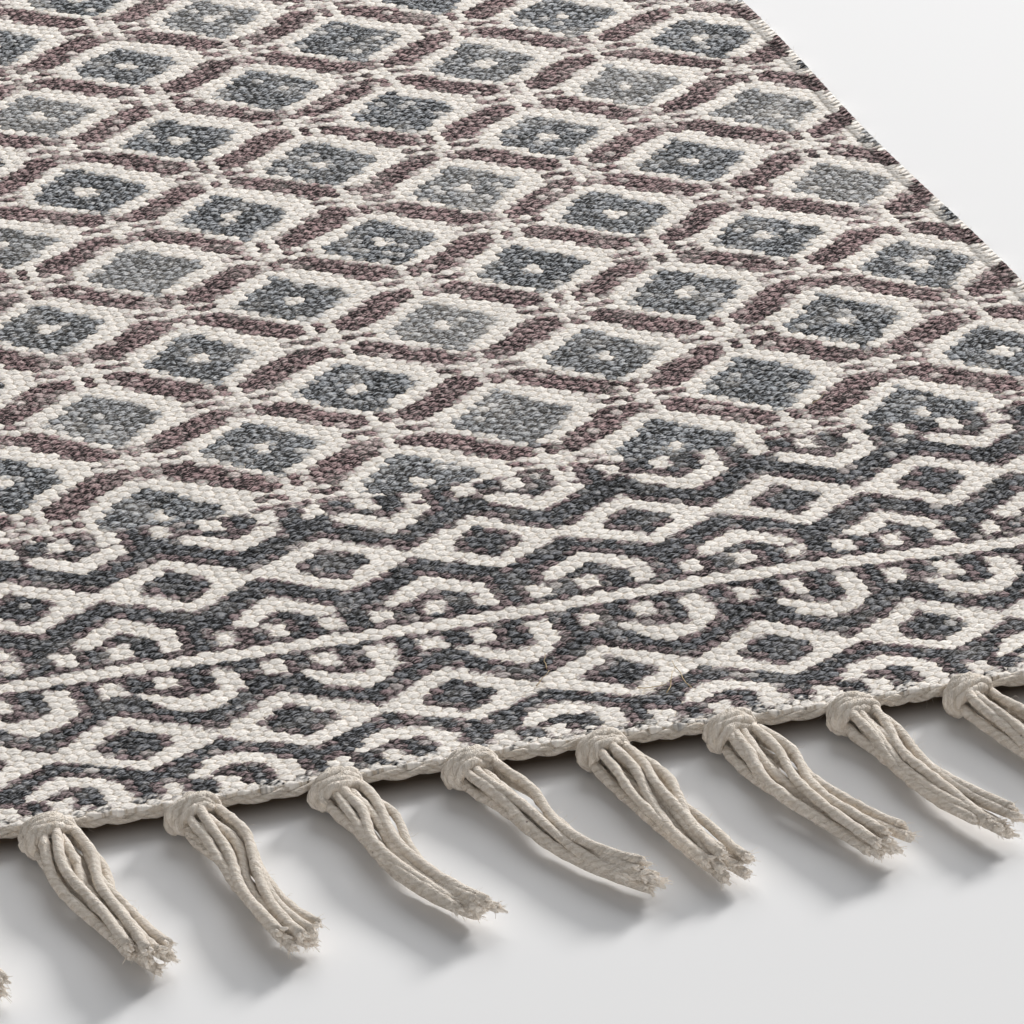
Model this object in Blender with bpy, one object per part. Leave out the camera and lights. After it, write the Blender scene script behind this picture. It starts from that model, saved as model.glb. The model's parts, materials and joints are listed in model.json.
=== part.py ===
"""Small flat-woven cotton rug with a row of knotted warp tassels at each end.

Metres, +Z up. The origin is the middle of the underside, +X runs across the rug's width and +Y along its
length. The cloth is one closed solid. Each tassel is one more: an overhand knot with its loose strands,
which drop to the floor and lie on it.
"""

import math
import random
from collections import namedtuple

import bmesh
import bpy
from mathutils import Vector

WIDTH = 0.600
LENGTH = 0.900
THICKNESS = 0.0035
CLEARANCE = 0.0003

# The cloth's own unevenness: soft swells that lift it off the floor, and a slightly wavy outline.
CLOTH_COLUMNS = 20
CLOTH_ROWS = 30
EDGE_ROLL = 0.0009
SELVEDGE_WAVE = 0.0010
END_WAVE = 0.0008
END_LIFT = 0.0036
END_LIFT_REACH = 0.040

Swell = namedtuple("Swell", "x y reach_x reach_y height")
SWELLS = (
    Swell(0.150, -0.368, 0.085, 0.050, 0.0021),
    Swell(0.010, -0.255, 0.090, 0.040, 0.0012),
    Swell(0.235, -0.180, 0.060, 0.090, 0.0014),
    Swell(-0.180, -0.330, 0.080, 0.060, 0.0016),
    Swell(0.205, 0.120, 0.080, 0.060, 0.0013),
    Swell(-0.205, 0.060, 0.070, 0.080, 0.0012),
    Swell(0.110, 0.330, 0.100, 0.050, 0.0017),
    Swell(-0.150, 0.300, 0.080, 0.070, 0.0015),
)

# A tassel in its own frame: u across, s outward from the cloth's end, z up from the floor.
KNOT_HALF_WIDTH = 0.0068
KNOT_HALF_HEIGHT = 0.0064
KNOT_MIDDLE_S = 0.0062
KNOT_FACE_S = 0.0112
KNOT_FACE_HALF_WIDTH = 0.0054
KNOT_FACE_HALF_HEIGHT = 0.0046
KNOT_BACK_SCALE = 0.66
STRAND_COLUMNS = 4
STRAND_HALF_WIDTH = 0.00112
STRAND_HALF_HEIGHT = 0.00122
STRAND_LENGTH = 0.077
TIP_TAPER = 0.8
# How far each strand falls short of the longest one, as a share: the lower layer's four, then the upper's.
TIP_SHORTFALL = (0.000, 0.035, 0.010, 0.045, 0.025, 0.005, 0.040, 0.015)

# Stations along a strand: its share of the strand's reach, the pitch of the four columns, and the height
# of the strand's middle in the lower and in the upper layer.
Station = namedtuple("Station", "share pitch low high")
STATIONS = (
    Station(0.00, 0.0027, 0.0042, 0.0088),
    Station(0.11, 0.0036, 0.0020, 0.0068),
    Station(0.34, 0.0046, STRAND_HALF_HEIGHT, 0.0042),
    Station(0.64, 0.0052, STRAND_HALF_HEIGHT, STRAND_HALF_HEIGHT),
    Station(1.00, 0.0056, STRAND_HALF_HEIGHT, STRAND_HALF_HEIGHT),
)
BEND_POWER = 1.7

# The front row from left to right: where the knot sits, how far its tips lean to the right, and how far
# the bundle spreads. The eight in the middle follow the photograph, and the rest continue the row.
Tassel = namedtuple("Tassel", "x lean spread")
FRONT_ROW = (
    Tassel(-0.2860, -0.006, 1.00),
    Tassel(-0.2495, 0.010, 0.92),
    Tassel(-0.2110, 0.004, 1.05),
    Tassel(-0.1735, 0.012, 0.95),
    Tassel(-0.1350, 0.015, 1.00),
    Tassel(-0.0975, 0.006, 0.90),
    Tassel(-0.0599, 0.0074, 1.20),
    Tassel(-0.0228, 0.0087, 1.00),
    Tassel(0.0149, 0.0136, 0.90),
    Tassel(0.0501, 0.0240, 0.80),
    Tassel(0.0855, 0.0099, 1.10),
    Tassel(0.1200, 0.0146, 1.20),
    Tassel(0.1530, 0.0128, 1.00),
    Tassel(0.1853, 0.0160, 0.95),
    Tassel(0.2190, 0.0090, 1.00),
    Tassel(0.2530, 0.0120, 0.90),
    Tassel(0.2862, 0.0040, 0.95),
)
BACK_SEED = 41
BACK_PLACE_JITTER = 0.0015
BACK_LEAN_SWING = 0.009
BACK_LEAN_STEP = 0.45
BACK_LEAN_JITTER = 0.0015
BACK_SPREAD = (0.85, 1.10)
BACK_LENGTH_SHARE = (0.94, 1.0)

COTTON_COLOUR = (0.66, 0.60, 0.50, 1.0)
PRINT_COLOUR = (0.30, 0.29, 0.29, 1.0)


def clear_scene():
    for thing in list(bpy.data.objects):
        bpy.data.objects.remove(thing, do_unlink=True)


def matte_material(name, colour, roughness):
    material = bpy.data.materials.new(name)
    material.use_nodes = True
    shader = material.node_tree.nodes["Principled BSDF"]
    shader.inputs["Base Color"].default_value = colour
    shader.inputs["Roughness"].default_value = roughness
    shader.inputs["Metallic"].default_value = 0.0
    return material


def add_object(name, bm, material):
    """Turns a finished bmesh into one named, smooth-shaded object."""
    bmesh.ops.recalc_face_normals(bm, faces=bm.faces)
    mesh = bpy.data.meshes.new(name)
    bm.to_mesh(mesh)
    bm.free()
    mesh.shade_smooth()
    mesh.materials.append(material)
    thing = bpy.data.objects.new(name, mesh)
    bpy.context.collection.objects.link(thing)
    return thing


def smooth_step(t):
    t = min(max(t, 0.0), 1.0)
    return t * t * (3.0 - 2.0 * t)


def lift_at(x, y):
    """Height of the cloth's underside above the floor."""
    lift = END_LIFT * smooth_step((abs(y) - LENGTH / 2 + END_LIFT_REACH) / END_LIFT_REACH)
    for swell in SWELLS:
        distance = math.hypot((x - swell.x) / swell.reach_x, (y - swell.y) / swell.reach_y)
        lift += swell.height * smooth_step(1.0 - distance)
    return lift


def place_in_outline(x, y):
    """Shifts a point of the plain rectangle to the cloth's slightly wavy outline."""
    wave_x = SELVEDGE_WAVE * math.sin(y * 31.0 + math.copysign(1.1, x)) * abs(2 * x / WIDTH) ** 4
    wave_y = END_WAVE * math.sin(x * 37.0 + math.copysign(0.6, y)) * abs(2 * y / LENGTH) ** 8
    return x + wave_x, y + wave_y


def build_cloth(material):
    """One sheet of even thickness, lifted by its swells and by the knots along both ends."""
    bm = bmesh.new()
    bmesh.ops.create_grid(bm, x_segments=CLOTH_COLUMNS, y_segments=CLOTH_ROWS, size=0.5)
    under = list(bm.faces)
    risen = bmesh.ops.extrude_face_region(bm, geom=under)
    upper = {item for item in risen["geom"] if isinstance(item, bmesh.types.BMVert)}
    for vert in bm.verts:
        x, y = place_in_outline(vert.co.x * WIDTH, vert.co.y * LENGTH)
        z = lift_at(x, y)
        if vert in upper:
            z += THICKNESS
            x -= math.copysign(EDGE_ROLL, x) if abs(vert.co.x) > 0.499 else 0.0
        vert.co = Vector((x, y, z))
    return add_object("cloth", bm, material)


def end_edge_y(x, side):
    """The y of the cloth's end at x, on the front (side -1) or back (side +1)."""
    return place_in_outline(x, side * LENGTH / 2)[1]


def strand_centre(tassel, reach, column, is_high, station):
    """Middle of a strand at a station, as (u, s, z)."""
    share_of_pitch = 0.25 if is_high else -0.25
    interleave = share_of_pitch * smooth_step(station.share * 3.0)
    across = (column - (STRAND_COLUMNS - 1) / 2 + interleave) * station.pitch * tassel.spread
    narrow = 1.0 / tassel.spread if station.share < 0.01 else 1.0
    u = across * narrow + tassel.lean * station.share**BEND_POWER
    s = KNOT_FACE_S + reach * station.share
    return Vector((u, s, station.high if is_high else station.low))


def extrude_strand(bm, face, tassel, reach, column, is_high):
    """Draws one four-sided strand out of a face of the knot, along its stations."""
    centre = face.calc_center_median()
    offsets = [vert.co - centre for vert in face.verts]
    corner_signs = [(math.copysign(1, offset.x), math.copysign(1, offset.z)) for offset in offsets]
    for station in STATIONS:
        middle = strand_centre(tassel, reach, column, is_high, station)
        slope = tassel.lean * BEND_POWER * station.share ** (BEND_POWER - 1) / reach
        sideways = Vector((1.0, -slope, 0.0)).normalized()
        taper = min(tassel.spread, 1.0) * (TIP_TAPER if station.share > 0.99 else 1.0)
        face = bmesh.ops.extrude_discrete_faces(bm, faces=[face])["faces"][0]
        for vert, (sign_u, sign_z) in zip(face.verts, corner_signs):
            vert.co = middle + sideways * (sign_u * STRAND_HALF_WIDTH * taper)
            vert.co.z += sign_z * STRAND_HALF_HEIGHT


def build_knot(bm):
    """The overhand knot: a front panel with a face for each strand, and a round body drawn back from it."""
    bmesh.ops.create_grid(bm, x_segments=STRAND_COLUMNS, y_segments=2, size=1.0)
    panel = list(bm.faces)
    for vert in bm.verts:
        u, z = vert.co.x * KNOT_FACE_HALF_WIDTH, vert.co.y * KNOT_FACE_HALF_HEIGHT
        vert.co = Vector((u, KNOT_FACE_S, KNOT_HALF_HEIGHT + z))
    rim = [edge for edge in bm.edges if edge.is_boundary]
    rings = (
        (KNOT_MIDDLE_S, KNOT_HALF_WIDTH, KNOT_HALF_HEIGHT),
        (CLEARANCE, KNOT_HALF_WIDTH * KNOT_BACK_SCALE, KNOT_HALF_HEIGHT * KNOT_BACK_SCALE),
    )
    for s, half_width, half_height in rings:
        grown = bmesh.ops.extrude_edge_only(bm, edges=rim)["geom"]
        rim = [item for item in grown if isinstance(item, bmesh.types.BMEdge)]
        for vert in {vert for edge in rim for vert in edge.verts}:
            angle = math.atan2(vert.co.z - KNOT_HALF_HEIGHT, vert.co.x)
            vert.co.x = half_width * math.cos(angle)
            vert.co.z = KNOT_HALF_HEIGHT + half_height * math.sin(angle)
            vert.co.y = s
    bmesh.ops.contextual_create(bm, geom=rim)
    return panel


def build_tassel(name, tassel, side, length_share, material):
    """A knot against the cloth's end with eight strands that drop to the floor. side is -1 in front."""
    bm = bmesh.new()
    panel = build_knot(bm)
    reach = STRAND_LENGTH * length_share - KNOT_FACE_S
    for face in panel:
        centre = face.calc_center_median()
        column = round(centre.x / (2 * KNOT_FACE_HALF_WIDTH / STRAND_COLUMNS) + (STRAND_COLUMNS - 1) / 2)
        is_high = centre.z > KNOT_HALF_HEIGHT
        shortfall = TIP_SHORTFALL[column + STRAND_COLUMNS * is_high]
        extrude_strand(bm, face, tassel, reach * (1.0 - shortfall), column, is_high)
    start = end_edge_y(tassel.x, side)
    for vert in bm.verts:
        vert.co = Vector((tassel.x + vert.co.x, start + side * vert.co.y, vert.co.z))
    return add_object(name, bm, material)


def back_row():
    """The far end's tassels, spaced like the front ones with small seeded differences."""
    rng = random.Random(BACK_SEED)
    first, last = FRONT_ROW[0].x, FRONT_ROW[-1].x
    pitch = (last - first) / (len(FRONT_ROW) - 1)
    for index in range(len(FRONT_ROW)):
        x = first + index * pitch + rng.uniform(-BACK_PLACE_JITTER, BACK_PLACE_JITTER)
        lean = BACK_LEAN_SWING * math.sin(index * BACK_LEAN_STEP)
        lean += rng.uniform(-BACK_LEAN_JITTER, BACK_LEAN_JITTER)
        yield Tassel(x, lean, rng.uniform(*BACK_SPREAD)), rng.uniform(*BACK_LENGTH_SHARE)


def main():
    clear_scene()
    printed = matte_material("printed_cotton", PRINT_COLOUR, 0.95)
    cotton = matte_material("cotton_yarn", COTTON_COLOUR, 0.95)
    build_cloth(printed)
    for index, tassel in enumerate(FRONT_ROW):
        build_tassel(f"tassel_front_{index + 1:02d}", tassel, -1, 1.0, cotton)
    for index, (tassel, length_share) in enumerate(back_row()):
        build_tassel(f"tassel_back_{index + 1:02d}", tassel, 1, length_share, cotton)


main()
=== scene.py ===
"""The looks of a hand-printed, flat-woven cotton rug with knotted tassels, laid out as a Blender add-on.

Metres, +Z up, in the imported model's own frame: the origin is the middle of the underside, the front end
lies at -Y. The cloth replaces its plain solid with the woven surface, and each tassel's solid is replaced
by a wound knot with its twisted strands.
"""

import json
import math
import random
from collections import namedtuple

import bmesh
import bpy
from bpy.props import FloatProperty, FloatVectorProperty, PointerProperty
from mathutils import Matrix, Vector, noise

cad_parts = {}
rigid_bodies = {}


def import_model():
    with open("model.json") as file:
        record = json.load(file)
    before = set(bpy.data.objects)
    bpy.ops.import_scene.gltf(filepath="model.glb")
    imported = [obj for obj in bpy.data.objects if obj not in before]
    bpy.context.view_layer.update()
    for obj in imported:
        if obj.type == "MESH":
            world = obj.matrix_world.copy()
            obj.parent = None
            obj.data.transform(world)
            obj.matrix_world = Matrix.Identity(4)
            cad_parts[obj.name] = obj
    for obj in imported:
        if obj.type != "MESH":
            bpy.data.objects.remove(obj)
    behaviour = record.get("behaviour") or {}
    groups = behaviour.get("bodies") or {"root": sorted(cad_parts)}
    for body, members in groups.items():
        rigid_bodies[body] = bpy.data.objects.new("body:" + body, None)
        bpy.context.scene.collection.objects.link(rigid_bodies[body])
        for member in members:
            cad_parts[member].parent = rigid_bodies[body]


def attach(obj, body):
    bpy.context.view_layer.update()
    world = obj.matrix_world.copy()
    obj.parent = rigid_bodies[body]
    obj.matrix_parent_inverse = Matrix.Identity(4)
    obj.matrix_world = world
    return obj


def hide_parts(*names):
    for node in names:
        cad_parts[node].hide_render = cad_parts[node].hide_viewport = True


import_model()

bl_info = {
    "name": "Printed Cotton Rug",
    "version": (1, 0, 0),
    "blender": (4, 5, 0),
    "location": "View3D > Sidebar > Rug",
    "description": "Builds a flat-woven, hand-printed cotton rug with knotted tassels",
    "category": "Object",
}

MM = 0.001
BODY = "root"

# The cloth, as in the model: a plain rectangle with a slightly wavy outline and soft swells.
WIDTH = 600 * MM
LENGTH = 900 * MM
THICKNESS = 3.5 * MM
SELVEDGE_WAVE = 1.0 * MM
END_WAVE = 0.8 * MM
END_LIFT = 3.6 * MM
END_LIFT_REACH = 40 * MM

Swell = namedtuple("Swell", "x y reach_x reach_y height")
SWELLS = (
    Swell(0.150, -0.368, 0.085, 0.050, 0.0021),
    Swell(0.010, -0.255, 0.090, 0.040, 0.0012),
    Swell(0.235, -0.180, 0.060, 0.090, 0.0014),
    Swell(-0.180, -0.330, 0.080, 0.060, 0.0016),
    Swell(0.205, 0.120, 0.080, 0.060, 0.0013),
    Swell(-0.205, 0.060, 0.070, 0.080, 0.0012),
    Swell(0.110, 0.330, 0.100, 0.050, 0.0017),
    Swell(-0.150, 0.300, 0.080, 0.070, 0.0015),
)

# The weave. The warps stand side by side across the width, and each weft bump spans one warp. Bumps in
# neighbouring columns are half a bump apart, so a row is half a bump long.
WARP_COLUMNS = 186
HALF_BUMP_ROWS = 462
EDGE_RIB = 2.6 * MM
# The rolled edge: how far it stands out and how far down it is, from the top edge to the bottom one.
EDGE_PROFILE = ((0.55 * MM, 0.5 * MM), (0.95 * MM, 1.5 * MM), (0.6 * MM, 2.7 * MM), (0.0, 3.4 * MM))

# The print. Its lengths are in repeats of the field along the width.
REPEAT = 75 * MM
ROW_SHARE = 0.882
FIELD_START_X = -5.681
FIELD_START_Y = -2.657
STRIPE_FROM_END = 1.060
BORDER_DEPTH = 1.085

# A tassel in its own frame: u across, s outward from the cloth's end, z up from the floor.
KNOT_MIDDLE_S = 6.0 * MM
KNOT_MIDDLE_Z = 5.7 * MM
KNOT_SHIFT = -1.6 * MM
STRAND_START_S = 7.0 * MM
STRAND_COUNT = 11
STRAND_TURN = 1.3
STRAND_BEND_POWER = 1.7
# The bundle along its way out: its share of the length, half width, half height and middle's height.
Bundle = namedtuple("Bundle", "share half_width half_height middle")
BUNDLE = (
    Bundle(0.00, 5.6 * MM, 3.0 * MM, 5.4 * MM),
    Bundle(0.10, 6.6 * MM, 3.3 * MM, 5.6 * MM),
    Bundle(0.25, 6.4 * MM, 3.2 * MM, 5.4 * MM),
    Bundle(0.45, 5.4 * MM, 2.9 * MM, 5.0 * MM),
    Bundle(0.65, 4.6 * MM, 2.7 * MM, 4.9 * MM),
    Bundle(0.85, 4.2 * MM, 2.6 * MM, 5.2 * MM),
    Bundle(1.00, 5.0 * MM, 2.8 * MM, 5.8 * MM),
)
Tassel = namedtuple("Tassel", "x lean spread")
FRONT_ROW = (
    Tassel(-0.2860, -0.006, 1.00),
    Tassel(-0.2495, 0.010, 0.92),
    Tassel(-0.2110, 0.004, 1.05),
    Tassel(-0.1735, 0.012, 0.95),
    Tassel(-0.1350, 0.015, 1.00),
    Tassel(-0.0975, 0.006, 0.90),
    Tassel(-0.0599, 0.0074, 1.20),
    Tassel(-0.0228, 0.0087, 1.00),
    Tassel(0.0149, 0.0136, 0.90),
    Tassel(0.0501, 0.0240, 0.80),
    Tassel(0.0855, 0.0099, 1.10),
    Tassel(0.1200, 0.0146, 1.20),
    Tassel(0.1530, 0.0128, 1.00),
    Tassel(0.1853, 0.0160, 0.95),
    Tassel(0.2190, 0.0090, 1.00),
    Tassel(0.2530, 0.0120, 0.90),
    Tassel(0.2862, 0.0040, 0.95),
)
# A few stray straws caught in the weave: where each starts, its heading in degrees and its length.
Straw = namedtuple("Straw", "x y heading length")
STRAWS = (
    Straw(0.0856, -0.4045, 80, 5 * MM),
    Straw(0.0800, -0.4130, 40, 6 * MM),
    Straw(0.1171, -0.4290, 95, 12 * MM),
    Straw(0.1100, -0.4310, 62, 9 * MM),
    Straw(0.1045, -0.4240, -30, 7 * MM),
    Straw(0.2100, -0.2700, 20, 5 * MM),
    Straw(-0.1200, -0.1900, 130, 6 * MM),
    Straw(-0.2200, 0.2500, 70, 7 * MM),
    Straw(0.0600, 0.3800, 15, 8 * MM),
)
BACK_SEED = 41
BACK_PLACE_JITTER = 0.0015
BACK_LEAN_SWING = 0.009
BACK_LEAN_STEP = 0.45
BACK_LEAN_JITTER = 0.0015
BACK_SPREAD = (0.85, 1.10)
BACK_LENGTH_SHARE = (0.94, 1.0)

# The photograph's camera, worked out from the print's even repeat.
CAMERA_PLACE = (-0.3476, -1.7226, 0.7199)
CAMERA_ELEVATION = math.radians(25.80)
CAMERA_HEADING = math.radians(17.82)
CAMERA_LENS = 209.2

# The low window light behind the rug, to its right.
WINDOW_TARGET = (0.10, -0.30, 0.0)
WINDOW_PLACE = (4.70, 3.20, 2.40)


def paint(red, green, blue):
    """A colour as seen on a screen, 0 to 255, as the linear colour that shaders take."""
    linear = []
    for value in (red / 255, green / 255, blue / 255):
        linear.append(value / 12.92 if value <= 0.04045 else ((value + 0.055) / 1.055) ** 2.4)
    return (*linear, 1.0)


# Painted shadow on the floor: its brown tone under the rug, and how far it reaches past the rug's ends.
FLOOR_PAINTED_SHADOW = paint(146, 130, 116)
FLOOR_PAINTED_SHADOW_REACH = 16 * MM


class RugSizes(bpy.types.PropertyGroup):
    weave_relief: FloatProperty(
        name="Weave relief", description="Height of a weft bump", default=0.75 * MM, unit="LENGTH"
    )
    yarn_radius: FloatProperty(
        name="Yarn radius", description="Radius of a loose warp yarn", default=1.38 * MM, unit="LENGTH"
    )
    tassel_length: FloatProperty(
        name="Tassel length", description="From the cloth's end to the tips", default=77 * MM, unit="LENGTH"
    )
    ply_pitch: FloatProperty(
        name="Ply pitch", description="Length of one turn of a yarn's twist", default=8.6 * MM, unit="LENGTH"
    )


class RugColours(bpy.types.PropertyGroup):
    cotton: FloatVectorProperty(
        name="Cotton", description="Undyed cotton", subtype="COLOR", size=4, default=paint(242, 236, 229)
    )
    yarn: FloatVectorProperty(
        name="Yarn", description="Loose cotton yarn", subtype="COLOR", size=4, default=paint(245, 236, 225)
    )
    charcoal: FloatVectorProperty(
        name="Charcoal", description="The border's ink", subtype="COLOR", size=4, default=paint(74, 75, 78)
    )
    slate: FloatVectorProperty(
        name="Slate", description="The field diamonds' ink", subtype="COLOR", size=4, default=paint(98, 100, 103)
    )
    brown: FloatVectorProperty(
        name="Brown", description="The trellis ink", subtype="COLOR", size=4, default=paint(103, 86, 86)
    )


class Wire:
    """A number that flows through a shader tree, for use in ordinary sums."""

    def __init__(self, tree, socket):
        self.tree = tree
        self.socket = socket

    def maths(self, operation, *others):
        node = self.tree.nodes.new("ShaderNodeMath")
        node.operation = operation
        for slot, value in zip(node.inputs, (self, *others)):
            plug(self.tree, value, slot)
        return Wire(self.tree, node.outputs[0])

    def __add__(self, other):
        return self.maths("ADD", other)

    def __sub__(self, other):
        return self.maths("SUBTRACT", other)

    def __mul__(self, other):
        return self.maths("MULTIPLY", other)

    def __truediv__(self, other):
        return self.maths("DIVIDE", other)

    def __abs__(self):
        return self.maths("ABSOLUTE")

    __radd__ = __add__
    __rmul__ = __mul__

    def __rsub__(self, other):
        return (self * -1.0) + other

    def below(self, limit):
        return self.maths("LESS_THAN", limit)

    def above(self, limit):
        return self.maths("GREATER_THAN", limit)

    def least(self, other):
        return self.maths("MINIMUM", other)

    def most(self, other):
        return self.maths("MAXIMUM", other)

    def rounded(self):
        return self.maths("ROUND")

    def root(self):
        return self.most(0.0).maths("SQRT")

    def power(self, exponent):
        return self.most(0.0).maths("POWER", exponent)

    def wrapped(self, length):
        return self.maths("FLOORED_MODULO", length)

    def between(self, low, high):
        return self.above(low) * self.below(high)

    def clipped(self):
        return self.most(0.0).least(1.0)


def plug(tree, value, slot):
    """Feeds a wire or a plain value into a node's input."""
    if isinstance(value, Wire):
        tree.links.new(value.socket, slot)
    else:
        slot.default_value = value


def vector_of(tree, x, y, z=0.0):
    node = tree.nodes.new("ShaderNodeCombineXYZ")
    for slot, value in zip(node.inputs, (x, y, z)):
        plug(tree, value, slot)
    return node.outputs[0]


def noise_at(tree, vector, scale, detail=2.0, dimensions="3D"):
    """A smooth random value from 0 to 1 at a place."""
    node = tree.nodes.new("ShaderNodeTexNoise")
    node.noise_dimensions = dimensions
    node.inputs["Scale"].default_value = scale
    node.inputs["Detail"].default_value = detail
    tree.links.new(vector, node.inputs["Vector"])
    return Wire(tree, node.outputs["Fac"])


def flat_noise_at(tree, vector, scale, detail=2.0):
    """The same over the flat cloth, which reads no third coordinate and renders faster."""
    return noise_at(tree, vector, scale, detail, "2D")


def chance_at(tree, x, y):
    """An even random value from 0 to 1 for a pair of numbers."""
    node = tree.nodes.new("ShaderNodeTexWhiteNoise")
    node.noise_dimensions = "2D"
    tree.links.new(vector_of(tree, x, y), node.inputs["Vector"])
    return Wire(tree, node.outputs["Value"])


def blend_colours(tree, share, first, second):
    """first where share is 0, second where it is 1. Each is a colour or a socket."""
    node = tree.nodes.new("ShaderNodeMix")
    node.data_type = "RGBA"
    plug(tree, share, node.inputs["Factor"])
    for slot, colour in ((node.inputs["A"], first), (node.inputs["B"], second)):
        if isinstance(colour, bpy.types.NodeSocket):
            tree.links.new(colour, slot)
        else:
            slot.default_value = colour
    return node.outputs["Result"]


def shade(tree, colour, factor):
    """The colour made darker or lighter by a factor."""
    node = tree.nodes.new("ShaderNodeVectorMath")
    node.operation = "SCALE"
    tree.links.new(colour, node.inputs[0])
    plug(tree, factor, node.inputs["Scale"])
    return node.outputs[0]


def new_material(name):
    """A matte cloth material, its tree and its shader."""
    material = bpy.data.materials.new(name)
    material.use_nodes = True
    tree = material.node_tree
    shader = tree.nodes["Principled BSDF"]
    shader.inputs["Roughness"].default_value = 0.95
    shader.inputs["Specular IOR Level"].default_value = 0.12
    shader.inputs["Sheen Weight"].default_value = 0.04
    shader.inputs["Sheen Roughness"].default_value = 0.6
    return material, tree, shader


def add_bump(tree, shader, height, distance, strength=1.0):
    node = tree.nodes.new("ShaderNodeBump")
    plug(tree, strength, node.inputs["Strength"])
    node.inputs["Distance"].default_value = distance
    plug(tree, height, node.inputs["Height"])
    tree.links.new(node.outputs["Normal"], shader.inputs["Normal"])


def specks(tree, vector, spacing, size):
    """1 on a few tiny seed specks, and 0 elsewhere."""
    node = tree.nodes.new("ShaderNodeTexVoronoi")
    node.inputs["Scale"].default_value = 1 / spacing
    tree.links.new(vector, node.inputs["Vector"])
    return Wire(tree, node.outputs["Distance"]).below(size / spacing)


def fold_lattice(x, y):
    """Folds a point into one quarter of its own diamond's cell in the field's centred lattice."""
    q = y / ROW_SHARE
    column, row = x.rounded(), q.rounded()
    side_x, side_y = x - column, q - row
    is_far = (abs(side_x) + abs(side_y)).above(0.5)
    fold_x = abs(abs(side_x) - is_far * 0.5)
    fold_q = abs(abs(side_y) - is_far * 0.5)
    cell_x = column + is_far * side_x.maths("SIGN") * 0.5
    cell_y = row + is_far * side_y.maths("SIGN") * 0.5
    return fold_x, fold_q, cell_x, cell_y


def trellis_depth(x, y):
    """How deep a point is in the brown trellis, which is bare along fine lines where it crosses."""
    fold_x, fold_q, _, _ = fold_lattice(x, y)
    fold_y = fold_q * ROW_SHARE
    outside = (fold_x - 0.318).most(fold_y - 0.284).most((fold_x * 0.85 + fold_y - 0.340) / 1.31)
    is_side = fold_x.above(fold_q)
    cross_x = abs(fold_x - is_side * 0.5)
    cross_y = abs(fold_y - (1.0 - is_side) * (ROW_SHARE / 2))
    level_line = 0.017 - abs(cross_y - 0.038)
    upright_line = (0.014 - abs(cross_x - 0.038)).least(cross_y - 0.045)
    open_middle = (0.024 - cross_y).least(0.052 - cross_x)
    bare = level_line.most(upright_line).most(open_middle)
    return outside.least(bare * -1.0)


def diamond_depth(x, y):
    """How deep a point is in its slate diamond, most of which have a bare dot, and that diamond's lots."""
    fold_x, fold_q, cell_x, cell_y = fold_lattice(x, y)
    fold_y = fold_q * ROW_SHARE
    inside = (1.0 - fold_x / 0.256 - fold_y / 0.258).least((0.230 - fold_x) / 0.16) * 0.180
    first, second = chance_at(x.tree, cell_x, cell_y), chance_at(x.tree, cell_y, cell_x)
    has_dot = first.below(0.76)
    from_dot = ((fold_x / 0.040).power(2.0) + (fold_y / 0.043).power(2.0)).root() - 1.0
    return inside.least(from_dot * 0.046 + (1.0 - has_dot)), first, second


def border_depth(x, side):
    """How deep a point is in the border's dark ground. side is its way from the plain stripe, plus on the field's side.

    Each half of the border is one band that mirrors about its own middle: a row of squares and arches on
    either side of a row of ringed diamonds. The arches are pointed on the field's side and round on the other.
    """
    period = 0.583
    out = abs(side)
    inner = side.above(0.0)
    middle = inner * 0.033 + 0.550
    shifted = x + 0.01 + inner * 0.13
    dx = shifted - (shifted / period).rounded() * period
    across = abs(dx)
    from_edge = middle - abs(out - middle)

    square_middle = 0.070 - inner * 0.025
    square_x = abs((dx + square_middle + period / 6).wrapped(period / 3) - period / 6)
    squares = (0.045 - square_x).least(0.054 - abs(from_edge - 0.134))

    pointed = 0.342 - across * 0.75
    rounded = 0.320 - (across / 0.175).power(2.2) * 0.15
    line = rounded + (pointed - rounded) * inner
    arches = (0.060 - abs(line - from_edge)).least(0.192 - across).least(from_edge - 0.190) * 0.85
    legs = (0.052 - abs(dx - 0.132)).least(from_edge - 0.095).least(0.260 - from_edge)
    legs = legs.least(0.5 - inner)

    from_diamond = period / 2 - across
    off_middle = abs(out - middle)
    outer = 1.0 - from_diamond / 0.335 - off_middle / 0.232
    core = (1.10 - from_diamond / 0.140 - off_middle / 0.120).least(
        (0.124 - from_diamond) / 0.1
    )
    rings = (outer * 0.175).least(core * -0.085)
    stripe = 0.046 - out
    bare = squares.most(arches).most(legs).most(rings).most(stripe)
    return bare * -1.0


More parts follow.
